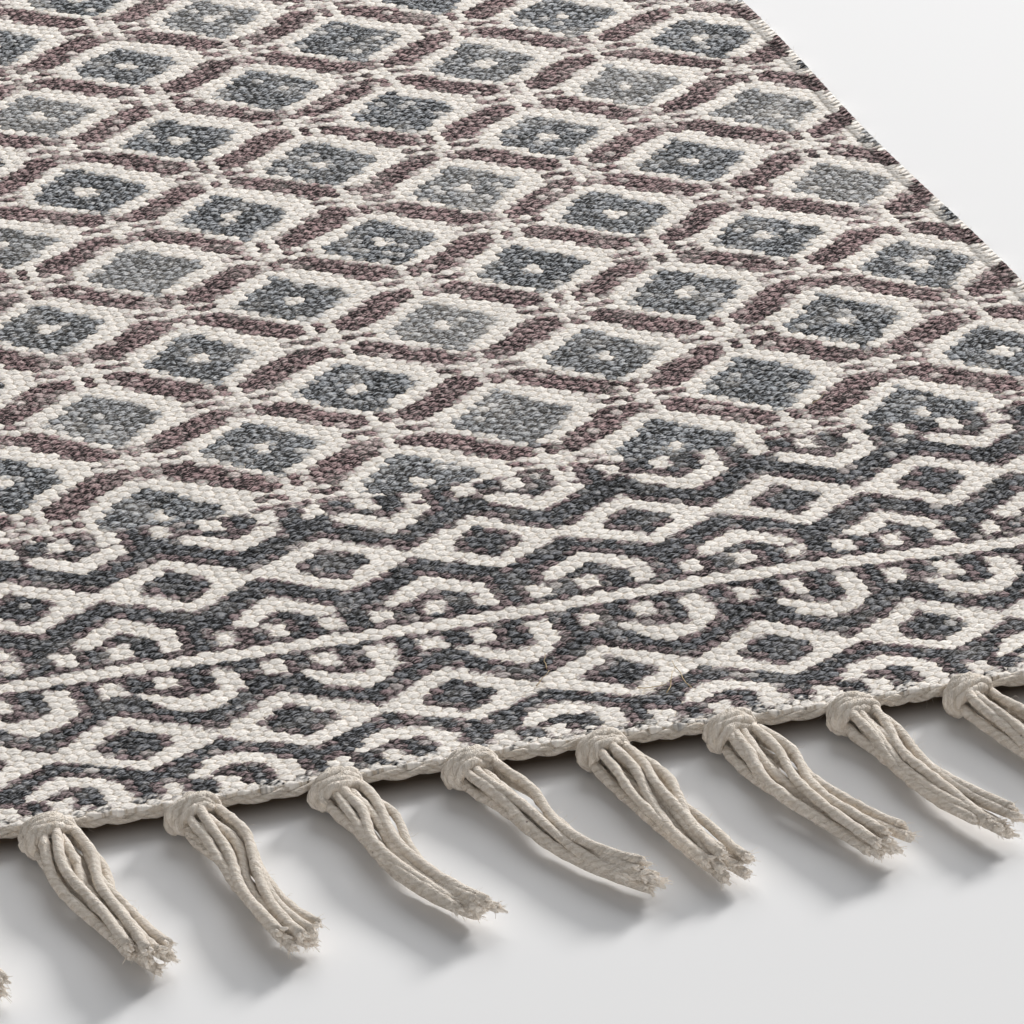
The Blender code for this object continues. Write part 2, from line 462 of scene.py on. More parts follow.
def weave_cell(tree):
    """The weft bump that a point is nearest to, the place on it in bumps, and the place on the cloth in metres."""
    uv = tree.nodes.new("ShaderNodeUVMap")
    uv.uv_map = "weave"
    parts = tree.nodes.new("ShaderNodeSeparateXYZ")
    tree.links.new(uv.outputs[0], parts.inputs[0])
    metres_x = Wire(tree, parts.outputs[0]) * WIDTH
    metres_y = Wire(tree, parts.outputs[1]) * LENGTH
    place = vector_of(tree, metres_x, metres_y)
    other = vector_of(tree, metres_y + 3.0, metres_x)
    drift_x = (flat_noise_at(tree, place, 95.0) - 0.5) * 0.50
    drift_x = drift_x + (flat_noise_at(tree, place, 900.0, 1.0) - 0.5) * 0.24
    drift_y = (flat_noise_at(tree, other, 95.0) - 0.5) * 0.80
    drift_y = drift_y + (flat_noise_at(tree, other, 900.0, 1.0) - 0.5) * 0.40
    across = metres_x * (WARP_COLUMNS / WIDTH) + drift_x
    along = metres_y * (HALF_BUMP_ROWS / LENGTH) + drift_y
    left = across.maths("FLOOR")
    near = []
    for column in (left, left + 1.0):
        odd = column.wrapped(2.0)
        row = ((along - odd) / 2).rounded() * 2 + odd
        on_x, on_y = across - column, (along - row) / 2
        near.append((on_x * on_x / 0.43 + on_y * on_y / 0.30, column, row, on_x, on_y))
    is_right = near[1][0].below(near[0][0])
    spread, column, row, on_x, on_y = (a + (b - a) * is_right for a, b in zip(*near))
    return column, row, on_x, on_y, spread, metres_x, metres_y


def inked(depth, softness=0.007):
    """How much ink a depth gives, from 0 to 1."""
    return (depth / softness * 0.5 + 0.5).clipped()


def printed_material(colours):
    """Woven cotton with the field and the border printed on it, mostly by whole bumps."""
    material, tree, shader = new_material("printed_cotton_weave")
    column, row, on_x, on_y, spread, raw_x, raw_y = weave_cell(tree)
    lot, second_lot = chance_at(tree, row, column), chance_at(tree, column, row)

    # The yarn: fibres along the weft, which leans a little on each bump.
    slant_x, slant_y = raw_x + raw_y * 0.35, raw_y - raw_x * 0.35
    fibres = noise_at(tree, vector_of(tree, slant_x * 520.0, slant_y * 2100.0, lot * 7.0), 1.0)
    clumps = noise_at(tree, vector_of(tree, slant_x * 420.0, slant_y * 700.0, lot * 9.0), 1.0)
    hairs = flat_noise_at(tree, vector_of(tree, slant_y * 260.0, slant_x * 1500.0), 1.0)
    dome = (1.0 - spread * 0.88).power(0.68)

    # The ink takes whole bumps more than parts of them, so the print is read a little towards each middle.
    in_border = (abs(raw_y - LENGTH / 2)).above(LENGTH / 2 - 2.2 * REPEAT)
    metres_x = raw_x - on_x * (0.85 - in_border * 0.35) * (WIDTH / WARP_COLUMNS)
    metres_y = raw_y - on_y * (0.45 - in_border * 0.15) * (2 * LENGTH / HALF_BUMP_ROWS)
    place = vector_of(tree, metres_x, metres_y)
    loose = 0.060 - in_border * 0.045
    wobble_x = (flat_noise_at(tree, place, 24.0, 1.0) - 0.5) * loose
    wobble_y = (flat_noise_at(tree, vector_of(tree, metres_y, metres_x), 24.0, 1.0) - 0.5) * loose
    x = metres_x / REPEAT + FIELD_START_X + wobble_x
    from_front = metres_y / REPEAT + wobble_y
    from_end = from_front.least(LENGTH / REPEAT - from_front)
    field_y = from_front + FIELD_START_Y
    ragged = (second_lot - 0.5) * 0.016 + (fibres - 0.5) * 0.034 + (clumps - 0.5) * 0.018

    slate_depth, first, second = diamond_depth(x, field_y)
    brown_depth = trellis_depth(x - 0.026, field_y - 0.024)
    side = from_end - STRIPE_FROM_END
    in_border = inked(BORDER_DEPTH - side + ragged)
    in_field = 1.0 - in_border
    worn = 1.0 - inked(0.042 + (clumps - 0.5) * 0.16 + (lot - 0.5) * 0.05 - from_end, 0.02)
    border_ink = inked(border_depth(x, side) + 0.005 + ragged, 0.004) * in_border * worn
    edge_x, edge_y = x - on_x * 0.022 - 0.008, side - on_y * 0.026 - 0.012
    core = inked(border_depth(edge_x, edge_y) - 0.001 - lot * 0.038, 0.003)
    dark = border_ink * core
    brown_edge = border_ink * (1.0 - core)
    slate = inked(slate_depth + ragged * 1.4) * in_field
    brown = (inked(brown_depth + ragged) * in_field).most(brown_edge)

    # Uneven ink: fibres and clumps that took little, paler diamonds, and single bumps that took almost none.
    patchy = flat_noise_at(tree, place, 70.0)
    thin = (patchy - 0.56).most(0.0) * 1.6 + (clumps - 0.55).most(0.0) * 2.2 + (hairs - 0.64).most(0.0) * 2.0
    slate = slate * (1.0 - thin * 0.8 - second.power(4.0) * 0.22 - lot.above(0.96) * 0.40).clipped()
    brown = brown * (1.0 - thin * 0.7 - lot.above(0.965) * 0.45).clipped()
    dark = dark * (1.0 - thin * 0.5 - lot.above(0.98) * 0.40).clipped()

    ground = blend_colours(tree, (clumps * 2.0 - 0.5).clipped(), shade_colour(colours.cotton, 0.90), colours.cotton)
    # Painted shade: the cream turns a darker, warmer tan where a bump is low and its fibres are sparse.
    ground = blend_colours(tree, (dome * 1.5 + fibres * 1.4 - 0.75).clipped(), paint(198, 181, 159), ground)
    # Painted highlight on the ink at the bump tops and painted shade in its hollows, with uneven ink along fibres,
    # clumps and single bumps.
    light = (dome - 0.55) * 1.1 + (fibres - 0.5) * 6.4 + (clumps - 0.5) * 2.6 + (lot - 0.5) * 0.6
    light = (light + 0.28).clipped()
    printed = blend_colours(tree, brown, ground, ink_tone(tree, light, colours.brown))
    printed = blend_colours(tree, slate, printed, ink_tone(tree, light, colours.slate))
    printed = blend_colours(tree, dark.most(brown_edge * 0.3), printed, ink_tone(tree, light, colours.charcoal))
    ink = brown.most(slate).most(dark)
    # Painted shade in the hollows between bumps: slight in the cream and deep in the ink, where ink pooled in the
    # hollows darkens them too.
    hollow = (1.0 - ink) * (0.93 + dome * 0.16) + ink * (0.10 + dome * 1.10)
    # The selvedge: a groove one warp in, and the wefts' ribs where they turn round the last one; the groove and the
    # gaps between the ribs get painted shade.
    from_selvedge = (WIDTH / 2 - abs(raw_x - WIDTH / 2)) * (WARP_COLUMNS / WIDTH)
    groove = (1.0 - abs(from_selvedge - 1.35) / 0.60).clipped()
    on_edge = ((1.0 - from_selvedge) * 2.5).clipped()
    rib = abs((raw_y * (math.pi / EDGE_RIB) + clumps * 1.5).maths("SINE")).power(0.6)
    hollow = hollow * (1.0 - groove * 0.48) * (1.0 - on_edge * (1.0 - rib) * 0.65)
    seeds = specks(tree, place, 9.0 * MM, 0.35 * MM) * (1.0 - ink)
    printed = blend_colours(tree, seeds * 0.6, printed, paint(116, 92, 70))
    tone = hollow * (0.96 + lot * 0.12) * (0.70 + fibres * 0.42 + clumps * 0.22) * (1.0 - brown_edge * 0.18)
    tree.links.new(shade(tree, printed, tone), shader.inputs["Base Color"])
    relief = dome * 0.95 * (1.0 - on_edge) + fibres * 0.88 + clumps * 0.55 + on_edge * rib * 1.8
    add_bump(tree, shader, relief, 1.0 * MM, 0.50 + ink * 0.50)
    return material


def ink_tone(tree, light, colour):
    """Ink from very dark to pale by a share; here the share holds painted shade in the weave's hollows and painted
    highlight on the bump tops, with uneven ink along the fibres.
    """
    return blend_colours(tree, light, shade_colour(colour, 0.20), shade_colour(colour, 3.1))


def shade_colour(colour, factor):
    """A plain colour made darker or lighter."""
    return (colour[0] * factor, colour[1] * factor, colour[2] * factor, 1.0)


def yarn_material(name, colour, ply_pitch):
    """Three-ply cotton yarn. The twist attribute holds the cosine and sine around the yarn, and the way along it."""
    material, tree, shader = new_material(name)
    attribute = tree.nodes.new("ShaderNodeAttribute")
    attribute.attribute_name = "twist"
    parts = tree.nodes.new("ShaderNodeSeparateXYZ")
    tree.links.new(attribute.outputs["Vector"], parts.inputs[0])
    cosine, sine, along = (Wire(tree, parts.outputs[index]) for index in range(3))
    where = tree.nodes.new("ShaderNodeTexCoord").outputs["Object"]
    soft = noise_at(tree, where, 300.0, 2.0)
    fine = noise_at(tree, where, 1900.0, 3.0)
    wide = noise_at(tree, where, 45.0, 2.0)
    turn = along * (2 * math.pi / ply_pitch) + soft * 2.4 + wide * 5.0
    reach = (cosine * cosine + sine * sine).root().most(0.01)
    facing = (cosine * turn.maths("COSINE") + sine * turn.maths("SINE")) / reach
    aside = (sine * turn.maths("COSINE") - cosine * turn.maths("SINE")) / reach
    fibres = noise_at(tree, vector_of(tree, facing * 3.5, aside * 3.5, along * 240.0), 1.0, 3.0)
    ply = (facing * facing * facing * 4.0 - facing * 3.0) * 0.5 + 0.5
    height = ply.power(0.5)
    base = blend_colours(tree, soft, shade_colour(colour, 0.88), shade_colour(colour, 1.08))
    seeds = specks(tree, where, 6.0 * MM, 0.32 * MM)
    base = blend_colours(tree, seeds * 0.75, base, paint(104, 76, 54))
    # Painted shade: the yarn is warmer and darker in the grooves between its plies and fibres, and its tone dips
    # slightly in the grooves.
    deep = (colour[0] * 0.84, colour[1] * 0.78, colour[2] * 0.70, 1.0)
    base = blend_colours(tree, (height * 0.45 + fibres * 1.3 + fine * 0.6 + soft * 0.5 - 0.75).clipped(), deep, base)
    tone = (0.94 + height * 0.09) * (0.72 + fine * 0.24 + fibres * 0.32) * (0.92 + wide * 0.20)
    tree.links.new(shade(tree, base, tone), shader.inputs["Base Color"])
    add_bump(tree, shader, height * 0.30 + fibres * 1.8 + fine * 1.2 + soft * 1.6, 0.40 * MM)
    return material


def fibre_material(colour):
    """Loose cotton fibres: pale, matte and without relief."""
    material, tree, shader = new_material("loose_cotton_fibre")
    where = tree.nodes.new("ShaderNodeTexCoord").outputs["Object"]
    soft = noise_at(tree, where, 400.0, 2.0)
    base = blend_colours(tree, soft, shade_colour(colour, 0.92), shade_colour(colour, 1.12))
    tree.links.new(base, shader.inputs["Base Color"])
    return material


def straw_material():
    """Dry plant straw."""
    material, tree, shader = new_material("stray_straw")
    where = tree.nodes.new("ShaderNodeTexCoord").outputs["Object"]
    base = blend_colours(tree, noise_at(tree, where, 500.0), paint(196, 170, 128), paint(234, 214, 180))
    tree.links.new(base, shader.inputs["Base Color"])
    return material


def floor_material():
    """A smooth, pale, matte sheet with the faintest mottling, and a brown painted shadow under the rug and just around
    it.
    """
    material, tree, shader = new_material("pale_floor")
    where = tree.nodes.new("ShaderNodeTexCoord").outputs["Object"]
    mottle = noise_at(tree, where, 3.0, 3.0)
    tone = blend_colours(tree, mottle, paint(240, 240, 241), paint(244, 244, 244))
    parts = tree.nodes.new("ShaderNodeSeparateXYZ")
    tree.links.new(where, parts.inputs[0])
    off_x = abs(Wire(tree, parts.outputs[0])) - WIDTH / 2
    off_y = abs(Wire(tree, parts.outputs[1])) - LENGTH / 2
    # Painted shadow: darker brown under the rug, fading out a little past its sides and farther past its ends.
    outside = (off_x / (2 * MM)).most(off_y / FLOOR_PAINTED_SHADOW_REACH)
    painted_shadow = 1.0 - (outside + 0.25).clipped()
    tone = blend_colours(tree, painted_shadow * painted_shadow, tone, FLOOR_PAINTED_SHADOW)
    tree.links.new(tone, shader.inputs["Base Color"])
    shader.inputs["Sheen Weight"].default_value = 0.0
    shader.inputs["Specular IOR Level"].default_value = 0.1
    return material


def finish_piece(name, bm, materials):
    """Turns a finished bmesh into one smooth piece that rides on the rug's one body."""
    mesh = bpy.data.meshes.new(name)
    bm.to_mesh(mesh)
    bm.free()
    mesh.shade_smooth()
    for material in materials:
        mesh.materials.append(material)
    piece = bpy.data.objects.new(name, mesh)
    bpy.context.collection.objects.link(piece)
    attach(piece, BODY)
    return piece


def smooth_step(t):
    t = min(max(t, 0.0), 1.0)
    return t * t * (3.0 - 2.0 * t)


def lift_at(x, y):
    """Height of the cloth's underside above the floor."""
    lift = END_LIFT * smooth_step((abs(y) - LENGTH / 2 + END_LIFT_REACH) / END_LIFT_REACH)
    for swell in SWELLS:
        distance = math.hypot((x - swell.x) / swell.reach_x, (y - swell.y) / swell.reach_y)
        if distance < 1.0:
            lift += swell.height * smooth_step(1.0 - distance)
    return lift


def place_in_outline(x, y):
    """Shifts a point of the plain rectangle to the cloth's slightly wavy outline."""
    wave_x = SELVEDGE_WAVE * math.sin(y * 31.0 + math.copysign(1.1, x)) * abs(2 * x / WIDTH) ** 4
    wave_y = END_WAVE * math.sin(x * 37.0 + math.copysign(0.6, y)) * abs(2 * y / LENGTH) ** 8
    return x + wave_x, y + wave_y


def roll_edges(bm):
    """Draws the sheet's rim down in a rounded edge, and returns each new point's ring."""
    ring_of = {}
    rim = [edge for edge in bm.edges if edge.is_boundary]
    for ring in range(len(EDGE_PROFILE)):
        grown = bmesh.ops.extrude_edge_only(bm, edges=rim)["geom"]
        rim = [item for item in grown if isinstance(item, bmesh.types.BMEdge)]
        rim = [edge for edge in rim if edge.is_boundary]
        for edge in rim:
            for vert in edge.verts:
                ring_of[vert] = ring
    return ring_of, rim


def close_underside(bm, rim):
    """Closes the sheet below with one face for each row of bumps."""
    sides = [edge for edge in rim if all(abs(vert.co.x) > 0.4999 for vert in edge.verts)]
    sides = [edge for edge in sides if edge.verts[0].co.x * edge.verts[1].co.x > 0]
    bmesh.ops.bridge_loops(bm, edges=sides)
    ends = [edge for edge in bm.edges if edge.is_boundary]
    for side in (-1, 1):
        loop = [edge for edge in ends if edge.verts[0].co.y * side > 0]
        bmesh.ops.contextual_create(bm, geom=loop)
    across = []
    for edge in bm.edges:
        first, second = (vert.co for vert in edge.verts)
        if abs(first.x - second.x) > 0.9 and abs(first.y) > 0.4999:
            across.append(edge)
    bmesh.ops.dissolve_edges(bm, edges=across, use_verts=False)


def bump_of(plain):
    """The column and row of a point of the plain grid, and whether it is the top of a bump."""
    column = round((plain.x + 0.5) * WARP_COLUMNS)
    row = round((plain.y + 0.5) * HALF_BUMP_ROWS)
    return column, row, (column + row) % 2 == 0


def split_between_bumps(bm):
    """Splits each face along the hollows, by parting the tops for a moment so that the hollows lie nearer."""
    for vert in bm.verts:
        column, _, is_top = bump_of(vert.co)
        vert.co.z = (1.0 if column % 2 else -1.0) if is_top else 0.0
    bmesh.ops.triangulate(bm, faces=bm.faces, quad_method="SHORT_EDGE")
    for vert in bm.verts:
        vert.co.z = 0.0


def build_cloth(sizes, colours):
    """The woven cloth: every second point of a column is the top of a weft bump."""
    bm = bmesh.new()
    bmesh.ops.create_grid(bm, x_segments=WARP_COLUMNS, y_segments=HALF_BUMP_ROWS, size=0.5)
    split_between_bumps(bm)
    ring_of, rim = roll_edges(bm)
    close_underside(bm, rim)
    weave = bm.loops.layers.uv.new("weave")
    for face in bm.faces:
        for loop in face.loops:
            loop[weave].uv = (loop.vert.co.x + 0.5, loop.vert.co.y + 0.5)
    rng = random.Random(7)
    for vert in bm.verts:
        plain = vert.co.copy()
        _, _, is_top = bump_of(plain)
        x, y = place_in_outline(plain.x * WIDTH, plain.y * LENGTH)
        z = lift_at(x, y)
        if vert in ring_of:
            outward, down = EDGE_PROFILE[ring_of[vert]]
            outward *= 1.15 if is_top else 0.6
            away = Vector((plain.x if abs(plain.x) > 0.4999 else 0.0, plain.y if abs(plain.y) > 0.4999 else 0.0))
            away = away.normalized() * outward
            vert.co = Vector((x + away.x, y + away.y, z + THICKNESS - down))
        else:
            wander = noise.noise_vector(Vector((x * 60, y * 60, 1.0))) * (0.5 * MM)
            edge_room = min(1.0, (0.5 - abs(plain.x)) * 40, (0.5 - abs(plain.y)) * 60)
            relief = sizes.weave_relief * rng.uniform(0.85, 1.15)
            height = THICKNESS - (0.0 if is_top else relief) - rng.uniform(0.0, 0.05 * MM)
            columns_in = (0.5 - abs(plain.x)) * WARP_COLUMNS
            if columns_in < 0.5:
                height = THICKNESS - 0.1 * MM
            elif columns_in < 1.5:
                height -= 0.45 * MM
            vert.co = Vector((x + wander.x * edge_room, y + wander.y * edge_room, z + height))
    bmesh.ops.recalc_face_normals(bm, faces=bm.faces)
    cloth = finish_piece("woven_cloth", bm, [printed_material(colours)])
    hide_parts("cloth")
    return cloth


def along_curve(points, count):
    """count points on the smooth curve through the given points."""
    padded = [points[0] * 2 - points[1], *points, points[-1] * 2 - points[-2]]
    result = []
    for index in range(count):
        t = index / (count - 1) * (len(points) - 1)
        k = min(int(t), len(points) - 2)
        t -= k
        a, b, c, d = padded[k : k + 4]
        result.append(0.5 * (2 * b + (c - a) * t + (2 * a - 5 * b + 4 * c - d) * t**2 + (3 * (b - c) + d - a) * t**3))
    return result


def draw_yarn(bm, path, radius, sides, phase=0.0, taper=None):
    """One closed yarn along a path. taper gives the share of the radius at a share of the length."""
    layer = bm.verts.layers.float_vector["twist"]
    rings = len(path) - 1
    made = bmesh.ops.create_grid(bm, x_segments=sides, y_segments=rings, size=0.5)["verts"]
    frames = []
    normal = Vector((0.0, 0.0, 1.0))
    along = 0.0
    for index, point in enumerate(path):
        ahead = (path[min(index + 1, rings)] - path[max(index - 1, 0)]).normalized()
        normal = normal - ahead * normal.dot(ahead)
        if normal.length < 1e-4:
            normal = ahead.orthogonal()
        normal = normal.normalized()
        if index:
            along += (point - path[index - 1]).length
        frames.append((point, normal, ahead.cross(normal), along))
    for vert in made:
        angle = (vert.co.x + 0.5) * 2 * math.pi
        index = round((vert.co.y + 0.5) * rings)
        point, up, side, along = frames[index]
        wide = radius * (taper(index / rings) if taper else 1.0)
        cosine, sine = math.cos(angle), math.sin(angle)
        vert.co = point + (up * cosine + side * sine) * wide
        vert[layer] = Vector((math.cos(angle + phase), math.sin(angle + phase), along))
    bmesh.ops.remove_doubles(bm, verts=made, dist=radius * 0.02)
    close_tube(bm, made)


def close_tube(bm, made):
    """Closes both open ends of a tube whose points are among those made."""
    open_edges = {edge for vert in made if vert.is_valid for edge in vert.link_edges if edge.is_boundary}
    bmesh.ops.holes_fill(bm, edges=list(open_edges), sides=0)


def new_yarn_mesh():
    bm = bmesh.new()
    bm.verts.layers.float_vector.new("twist")
    return bm


def bundle_at(share):
    """The bundle's half width, half height and middle's height at a share of its length."""
    for low, high in zip(BUNDLE, BUNDLE[1:]):
        if share <= high.share:
            break
    t = (share - low.share) / (high.share - low.share)
    return [a + (b - a) * t for a, b in zip(low[1:], high[1:])]


def absorb(bm, part):
    """Moves a small mesh into a big one, which is much quicker than growing the big one yarn by yarn."""
    mesh = bpy.data.meshes.new("part")
    part.to_mesh(mesh)
    part.free()
    bm.from_mesh(mesh)
    bpy.data.meshes.remove(mesh)


def strand_path(tassel, reach, index, radius, sway, rng):
    """A strand from inside the knot out to its tip, at its own place in the slowly turning bundle."""
    is_core = index % 3 == 2
    ring = 0.30 if is_core else rng.uniform(0.80, 1.0)
    first_angle = 2 * math.pi * (index + rng.uniform(-0.35, 0.35)) / STRAND_COUNT
    turn = STRAND_TURN * rng.uniform(0.6, 1.3)
    own_phase, own_turns = rng.uniform(0, 6.28), rng.uniform(0.7, 1.6)
    stray = rng.uniform(-1.0, 1.0) * (5.0 * MM if rng.random() < 0.2 else 1.4 * MM)
    drop = rng.uniform(-0.8, 0.5) * MM
    slack = rng.uniform(-0.4, 2.2) * MM
    points = []
    for step in range(10):
        t = step / 9
        half_width, half_height, middle = bundle_at(t)
        spread = 1.0 + (tassel.spread - 1.0) * min(1.0, t * 3)
        angle = first_angle + turn * t
        u = ring * half_width * spread * math.cos(angle) + tassel.lean * t**STRAND_BEND_POWER
        u += sway[0] * math.sin(sway[1] + 6.28 * sway[2] * t) * min(1.0, t * 2.5)
        u += 0.9 * MM * math.sin(own_phase + 6.28 * own_turns * t) * min(1.0, t * 3) + stray * t**3
        u += slack * math.exp(-(((t - 0.24) / 0.13) ** 2))
        z = middle + ring * half_height * math.sin(angle) + drop * t
        z += 0.5 * MM * math.cos(own_phase * 2 + 6.28 * own_turns * t)
        points.append(Vector((u, STRAND_START_S + (reach - STRAND_START_S) * t, max(z, radius))))
    return along_curve(points, 28)


def lumps(rng):
    """A hand-spun yarn's share of its radius along the way."""
    place = rng.uniform(0, 100)
    return lambda t: 0.98 + 0.26 * noise.noise(Vector((place, t * 22.0, 0.0))) + 0.08 * t**4


def draw_strand_end(bm, path, radius, rng):
    """The frayed end of a strand: a brush of opened plies and finer fibres."""
    tip = path[-1]
    ahead = (path[-1] - path[-3]).normalized()
    for index in range(18):
        is_ply = index < 6
        turn = Vector((rng.uniform(-1, 1), rng.uniform(-0.6, 0.8), rng.uniform(-0.8, 1)))
        start = tip - ahead * rng.uniform(0.8, 2.0) * MM + turn * radius * 0.45
        length = rng.uniform(1.6, 3.2) * MM * (1.0 if is_ply else 1.4)
        open_out = 0.45 if is_ply else 0.75
        bend = Vector((rng.uniform(-1, 1), rng.uniform(-1, 1), rng.uniform(-1, 0.8))) * 0.4
        middle = start + (ahead + turn * open_out * 0.6).normalized() * length * 0.55
        end = middle + (ahead + turn * open_out + bend).normalized() * length * 0.45
        for point in (start, middle, end):
            point.z = max(point.z, 0.4 * MM)
        wide = rng.uniform(0.48, 0.66) * MM if is_ply else rng.uniform(0.06, 0.12) * MM
        draw_yarn(bm, [start, middle, end], wide, 5 if is_ply else 3, taper=lambda t: 1.0 - 0.4 * t * t)


def draw_knot(bm, radius, rng):
    """The overhand knot: a full middle with five turns wound over it, open below where the strands leave."""
    layer = bm.verts.layers.float_vector["twist"]
    core = bmesh.ops.create_uvsphere(bm, u_segments=14, v_segments=8, radius=1.0)["verts"]
    for vert in core:
        vert[layer] = Vector((vert.co.x, vert.co.z, vert.co.y * 5 * MM))
        vert.co = Vector((vert.co.x * 5.2 * MM, vert.co.y * 4.6 * MM, vert.co.z * 4.2 * MM))
        vert.co += Vector((KNOT_SHIFT, KNOT_MIDDLE_S - 1.2 * MM, KNOT_MIDDLE_Z - 0.6 * MM))
    turns = 5
    for turn in range(turns):
        share = turn / (turns - 1) * 2 - 1
        barrel = math.sqrt(1 - 0.40 * share * share)
        half_width = (6.3 * MM + rng.uniform(-0.4, 0.4) * MM) * barrel
        half_height = (3.9 * MM + rng.uniform(-0.3, 0.3) * MM) * barrel
        points = []
        for step in range(9):
            angle = math.radians(-58 + step * 286 / 8)
            u = KNOT_SHIFT + half_width * math.cos(angle)
            z = KNOT_MIDDLE_Z + half_height * math.sin(angle)
            s = KNOT_MIDDLE_S + share * 3.1 * MM - 1.8 * MM * math.cos(angle)
            wander = Vector((rng.uniform(-1, 1), rng.uniform(-1, 1), rng.uniform(-1, 1))) * (0.55 * MM)
            points.append(Vector((u, s, max(z, radius))) + wander)
        draw_yarn(bm, along_curve(points, 22), radius * 1.08, 8, phase=rng.uniform(0, 6.28), taper=lumps(rng))


def draw_fluff(bm, place, direction, rng, length, radius=0.05 * MM):
    """One fine stray fibre."""
    points = [place]
    for _ in range(3):
        direction = (direction + Vector([rng.uniform(-0.7, 0.7) for _ in range(3)])).normalized()
        step = points[-1] + direction * (length / 3)
        step.z = max(step.z, 0.08 * MM)
        points.append(step)
    draw_yarn(bm, points, radius, 3, taper=lambda t: 1.0 - 0.5 * t)


def build_tassel(name, node, tassel, side, length_share, sizes, materials, seed):
    """One tassel: its knot, its strands with frayed ends, and a few stray fibres. side is -1 in front."""
    rng = random.Random(seed)
    bm = new_yarn_mesh()
    radius = sizes.yarn_radius
    draw_knot(bm, radius, rng)
    sway = (rng.uniform(0.6, 2.2) * MM, rng.uniform(0, 6.28), rng.uniform(0.4, 0.9))
    for index in range(STRAND_COUNT):
        part = new_yarn_mesh()
        reach = (sizes.tassel_length * length_share - 1.5 * MM) * rng.uniform(0.91, 1.0)
        path = strand_path(tassel, reach, index, radius, sway, rng)
        wide = rng.uniform(0.88, 1.06)
        draw_yarn(part, path, radius * wide, 8, phase=rng.uniform(0, 6.28), taper=lumps(rng))
        yarn_faces = len(part.faces)
        draw_strand_end(part, path, radius, rng)
        for _ in range(12):
            spot = path[rng.randrange(3, 27)]
            out = Vector((rng.uniform(-1, 1), rng.uniform(-0.5, 0.8), rng.uniform(0.0, 1))).normalized()
            draw_fluff(part, spot + out * radius * 0.8, out, rng, rng.uniform(1.2, 3.6) * MM, 0.04 * MM)
        for face in list(part.faces)[yarn_faces:]:
            face.material_index = 1
        absorb(bm, part)
    start = place_in_outline(tassel.x, side * LENGTH / 2)[1]
    for vert in bm.verts:
        vert.co = Vector((tassel.x + vert.co.x, start + side * vert.co.y, vert.co.z))
    bmesh.ops.recalc_face_normals(bm, faces=bm.faces)
    piece = finish_piece(name, bm, materials)
    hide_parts(node)
    return piece


def back_row():
    """The far end's tassels, as the model places them."""
    rng = random.Random(BACK_SEED)
    first, last = FRONT_ROW[0].x, FRONT_ROW[-1].x
    pitch = (last - first) / (len(FRONT_ROW) - 1)
    for index in range(len(FRONT_ROW)):
        x = first + index * pitch + rng.uniform(-BACK_PLACE_JITTER, BACK_PLACE_JITTER)
        lean = BACK_LEAN_SWING * math.sin(index * BACK_LEAN_STEP)
        lean += rng.uniform(-BACK_LEAN_JITTER, BACK_LEAN_JITTER)
        yield Tassel(x, lean, rng.uniform(*BACK_SPREAD)), rng.uniform(*BACK_LENGTH_SHARE)


def build_end_yarns(name, places, side, sizes, materials, seed):
    """The warp ends that run along the cloth's end into the knots, as two yarns laid round each other."""
    rng = random.Random(seed)
    bm = new_yarn_mesh()
    stops = [-WIDTH / 2 - 3 * MM, *places, WIDTH / 2 + 3 * MM]
    for left, right in zip(stops, stops[1:]):
        part = new_yarn_mesh()
        start, stop = left + 3.0 * MM, right - 3.0 * MM
        span = stop - start
        turns = span / (17 * MM) * rng.uniform(0.7, 1.3)
        first_turn = rng.uniform(0, 6.28)
        count = max(4, round(span / (1.6 * MM)))
        for strand in (0, math.pi):
            points = []
            for step in range(count + 1):
                t = step / count
                x = start + span * t
                edge = place_in_outline(x, side * LENGTH / 2)[1]
                angle = first_turn + strand + 6.28 * turns * t
                sag = math.sin(math.pi * t)
                loose = noise.noise(Vector((x * 130.0, strand, side))) * (1.1 * MM)
                out = 0.4 * MM + 0.3 * MM * sag + 0.65 * MM * math.cos(angle) + loose
                z = END_LIFT + 1.9 * MM - 0.8 * MM * sag + 0.75 * MM * math.sin(angle) + loose * 0.5
                points.append(Vector((x, edge + side * out, z)))
            draw_yarn(part, points, sizes.yarn_radius * 0.66, 7, phase=rng.uniform(0, 6.28), taper=lumps(rng))
        for _ in range(6):
            x = rng.uniform(start, stop)
            edge = place_in_outline(x, side * LENGTH / 2)[1]
            out = Vector((rng.uniform(-0.6, 0.6), side * rng.uniform(0.2, 1), rng.uniform(-0.5, 1))).normalized()
            spot = Vector((x, edge + side * 1.6 * MM, END_LIFT + 2 * MM))
            draw_fluff(part, spot, out, rng, rng.uniform(1.5, 4.0) * MM)
        absorb(bm, part)
    bmesh.ops.recalc_face_normals(bm, faces=bm.faces)
    return finish_piece(name, bm, materials)


def build_cloth_fluff(material):
    """Fine fibres that stand up from the weave and along the selvedges."""
    rng = random.Random(19)
    bm = new_yarn_mesh()
    for batch in range(60):
        part = new_yarn_mesh()
        for index in range(64):
            if index % 2:
                x, y = place_in_outline(rng.uniform(-0.5, 0.5) * WIDTH, rng.uniform(-0.5, 0.5) * LENGTH)
                out = Vector((rng.uniform(-1, 1), rng.uniform(-1, 1), rng.uniform(0.1, 0.7))).normalized()
                spot = Vector((x, y, lift_at(x, y) + THICKNESS - 0.3 * MM))
                draw_fluff(part, spot, out, rng, rng.uniform(1.0, 3.0) * MM, 0.035 * MM)
            else:
                side = rng.choice((-1, 1))
                x, y = place_in_outline(side * WIDTH / 2, rng.uniform(-0.5, 0.5) * LENGTH)
                out = Vector((side * rng.uniform(0.3, 1), rng.uniform(-1, 1), rng.uniform(-0.2, 0.8)))
                spot = Vector((x, y, lift_at(x, y) + rng.uniform(1.0, 3.0) * MM))
                draw_fluff(part, spot, out.normalized(), rng, rng.uniform(1.0, 2.6) * MM, 0.04 * MM)
        absorb(bm, part)
    bmesh.ops.recalc_face_normals(bm, faces=bm.faces)
    return finish_piece("cloth_fluff", bm, [material])


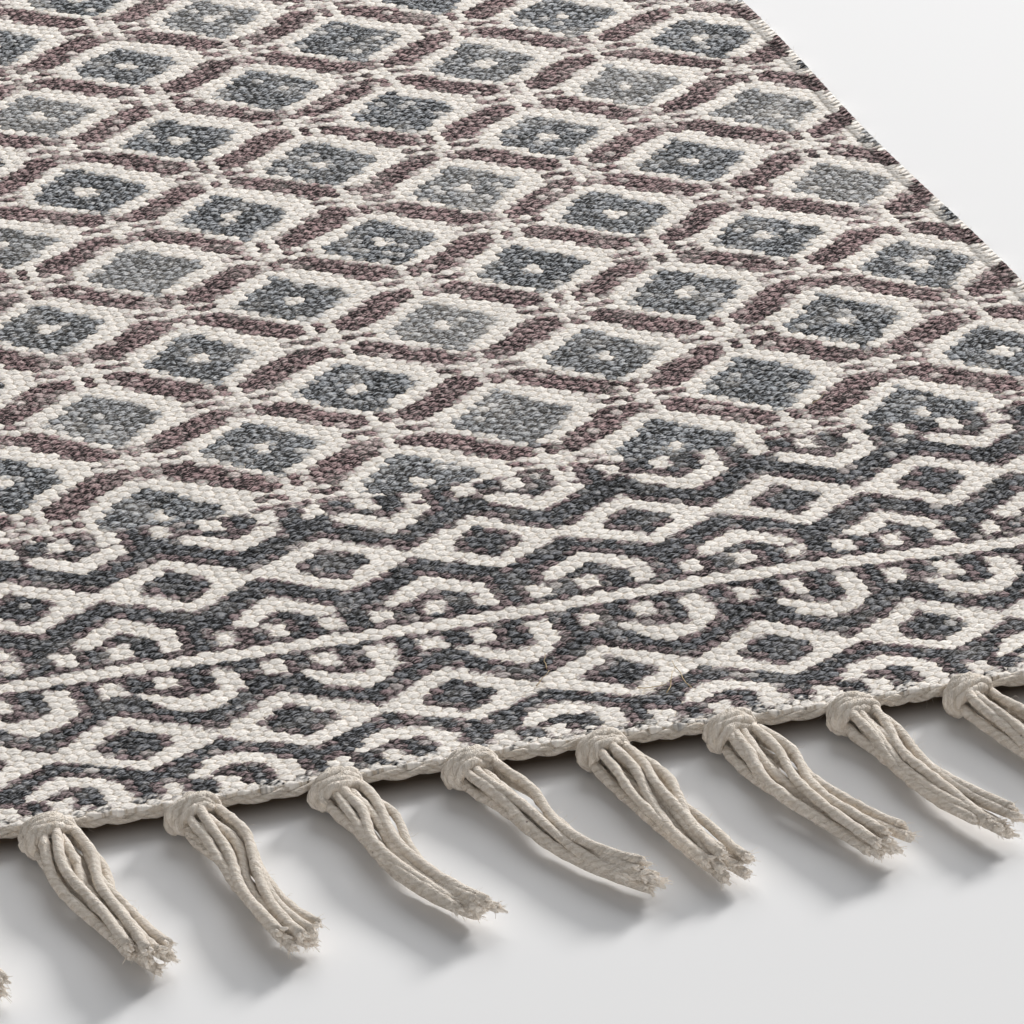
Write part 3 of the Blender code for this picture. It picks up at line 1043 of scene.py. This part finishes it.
def build_straws(materials):
    """The few stray straws that lie on the weave with one end lifted."""
    rng = random.Random(5)
    bm = new_yarn_mesh()
    for straw in STRAWS:
        heading = math.radians(straw.heading)
        ahead = Vector((math.cos(heading), math.sin(heading), 0.0))
        start = Vector((straw.x, straw.y, lift_at(straw.x, straw.y) + THICKNESS + 0.1 * MM))
        points = []
        for step in range(6):
            t = step / 5
            wander = Vector((rng.uniform(-1, 1), rng.uniform(-1, 1), 0.0)) * (0.3 * MM)
            rise = Vector((0.0, 0.0, 2.0 * MM * t * t))
            points.append(start + ahead * straw.length * t + wander + rise)
        draw_yarn(bm, points, 0.16 * MM, 5, taper=lambda t: 1.0 - 0.5 * t)
    bmesh.ops.recalc_face_normals(bm, faces=bm.faces)
    return finish_piece("stray_straws", bm, materials)


class RUG_OT_cloth(bpy.types.Operator):
    """Weave and print the rug's cloth"""

    bl_idname = "rug.cloth"
    bl_label = "Cloth"

    def execute(self, context):
        build_cloth(context.scene.rug_sizes, context.scene.rug_colours)
        return {"FINISHED"}


class RUG_OT_fringe(bpy.types.Operator):
    """Tie the tassels, and lay the warp ends that run between them"""

    bl_idname = "rug.fringe"
    bl_label = "Fringe"

    def execute(self, context):
        sizes = context.scene.rug_sizes
        colour = context.scene.rug_colours.yarn
        materials = [yarn_material("twisted_cotton_yarn", colour, sizes.ply_pitch), fibre_material(colour)]
        for index, tassel in enumerate(FRONT_ROW):
            number = f"{index + 1:02d}"
            build_tassel(
                f"knotted_tassel_front_{number}",
                f"tassel_front_{number}", tassel, -1, 1.0, sizes, materials, 100 + index,
            )
        for index, (tassel, length_share) in enumerate(back_row()):
            number = f"{index + 1:02d}"
            build_tassel(
                f"knotted_tassel_back_{number}",
                f"tassel_back_{number}", tassel, 1, length_share, sizes, materials, 200 + index,
            )
        places = [tassel.x for tassel in FRONT_ROW]
        build_end_yarns("end_yarns_front", places, -1, sizes, materials, 5)
        places = [tassel.x for tassel, _ in back_row()]
        build_end_yarns("end_yarns_back", places, 1, sizes, materials, 6)
        build_cloth_fluff(materials[1])
        build_straws([straw_material()])
        return {"FINISHED"}


class RUG_OT_declare(bpy.types.Operator):
    """Make sure that the cloth is woven, and gather the pieces that hang on it"""

    bl_idname = "rug.declare"
    bl_label = "Declare the sheet"

    def execute(self, context):
        objects = bpy.data.objects
        if "woven_cloth" not in objects:
            raise RuntimeError("the cloth has to be woven first")
        names = ("knotted_tassel", "end_yarns", "cloth_fluff", "stray_straws")
        fringe = [thing for thing in objects if thing.name.startswith(names)]
        return {"FINISHED"}


def add_area_light(name, place, target, size, power, colour):
    light = bpy.data.lights.new(name, "AREA")
    light.shape = "DISK"
    light.size = size
    light.energy = power
    light.color = colour
    lamp = bpy.data.objects.new(name, light)
    lamp.location = place
    lamp.rotation_euler = (Vector(target) - Vector(place)).to_track_quat("-Z", "Y").to_euler()
    bpy.context.collection.objects.link(lamp)
    return lamp


class RUG_OT_stage(bpy.types.Operator):
    """Set up the floor, the soft studio light and the camera"""

    bl_idname = "rug.stage"
    bl_label = "Stage"

    def execute(self, context):
        bm = bmesh.new()
        bmesh.ops.create_grid(bm, x_segments=1, y_segments=1, size=12.0)
        bmesh.ops.translate(bm, verts=bm.verts, vec=(0.0, 0.0, -0.2 * MM))
        mesh = bpy.data.meshes.new("floor")
        bm.to_mesh(mesh)
        bm.free()
        mesh.materials.append(floor_material())
        floor = bpy.data.objects.new("floor", mesh)
        context.collection.objects.link(floor)

        add_area_light("window", WINDOW_PLACE, WINDOW_TARGET, 1.40, 405.0, (1.0, 0.985, 0.965))
        add_area_light("back_wall", (1.5, 3.3, 3.2), (0.1, -0.3, 0.0), 3.8, 114.0, (0.99, 0.995, 1.0))
        fill = add_area_light("front_fill", (-0.9, -3.6, 0.65), (0.05, -0.45, 0.0), 1.5, 19.0, (1.0, 0.99, 0.97))
        fill.visible_camera = False
        world = bpy.data.worlds.new("studio")
        world.use_nodes = True
        sky = world.node_tree.nodes["Background"]
        sky.inputs["Color"].default_value = (0.98, 0.985, 1.0, 1.0)
        sky.inputs["Strength"].default_value = 0.212
        context.scene.world = world
        context.scene.view_settings.view_transform = "Standard"
        context.scene.view_settings.look = "None"

        camera = bpy.data.cameras.new("photo_camera")
        camera.lens = CAMERA_LENS
        camera.clip_end = 60.0
        eye = bpy.data.objects.new("photo_camera", camera)
        eye.location = CAMERA_PLACE
        eye.rotation_euler = (math.pi / 2 - CAMERA_ELEVATION, 0.0, -CAMERA_HEADING)
        context.collection.objects.link(eye)
        context.scene.camera = eye
        return {"FINISHED"}


class RUG_PT_panel(bpy.types.Panel):
    """The rug's sizes, colours and building steps"""

    bl_idname = "RUG_PT_panel"
    bl_label = "Printed Cotton Rug"
    bl_space_type = "VIEW_3D"
    bl_region_type = "UI"
    bl_category = "Rug"

    def draw(self, context):
        for group in (context.scene.rug_sizes, context.scene.rug_colours):
            for name in group.bl_rna.properties.keys():
                if name not in ("rna_type", "name"):
                    self.layout.prop(group, name)
        for step in STEPS:
            self.layout.operator(step.bl_idname)


STEPS = (RUG_OT_stage, RUG_OT_cloth, RUG_OT_fringe, RUG_OT_declare)
CLASSES = (RugSizes, RugColours, *STEPS, RUG_PT_panel)


def register():
    for each in CLASSES:
        bpy.utils.register_class(each)
    bpy.types.Scene.rug_sizes = PointerProperty(type=RugSizes)
    bpy.types.Scene.rug_colours = PointerProperty(type=RugColours)


def unregister():
    del bpy.types.Scene.rug_colours
    del bpy.types.Scene.rug_sizes
    for each in reversed(CLASSES):
        bpy.utils.unregister_class(each)


def main():
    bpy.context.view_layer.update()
    register()
    bpy.ops.rug.stage()
    bpy.ops.rug.cloth()
    bpy.ops.rug.fringe()
    bpy.ops.rug.declare()


if __name__ == "__main__":
    main()
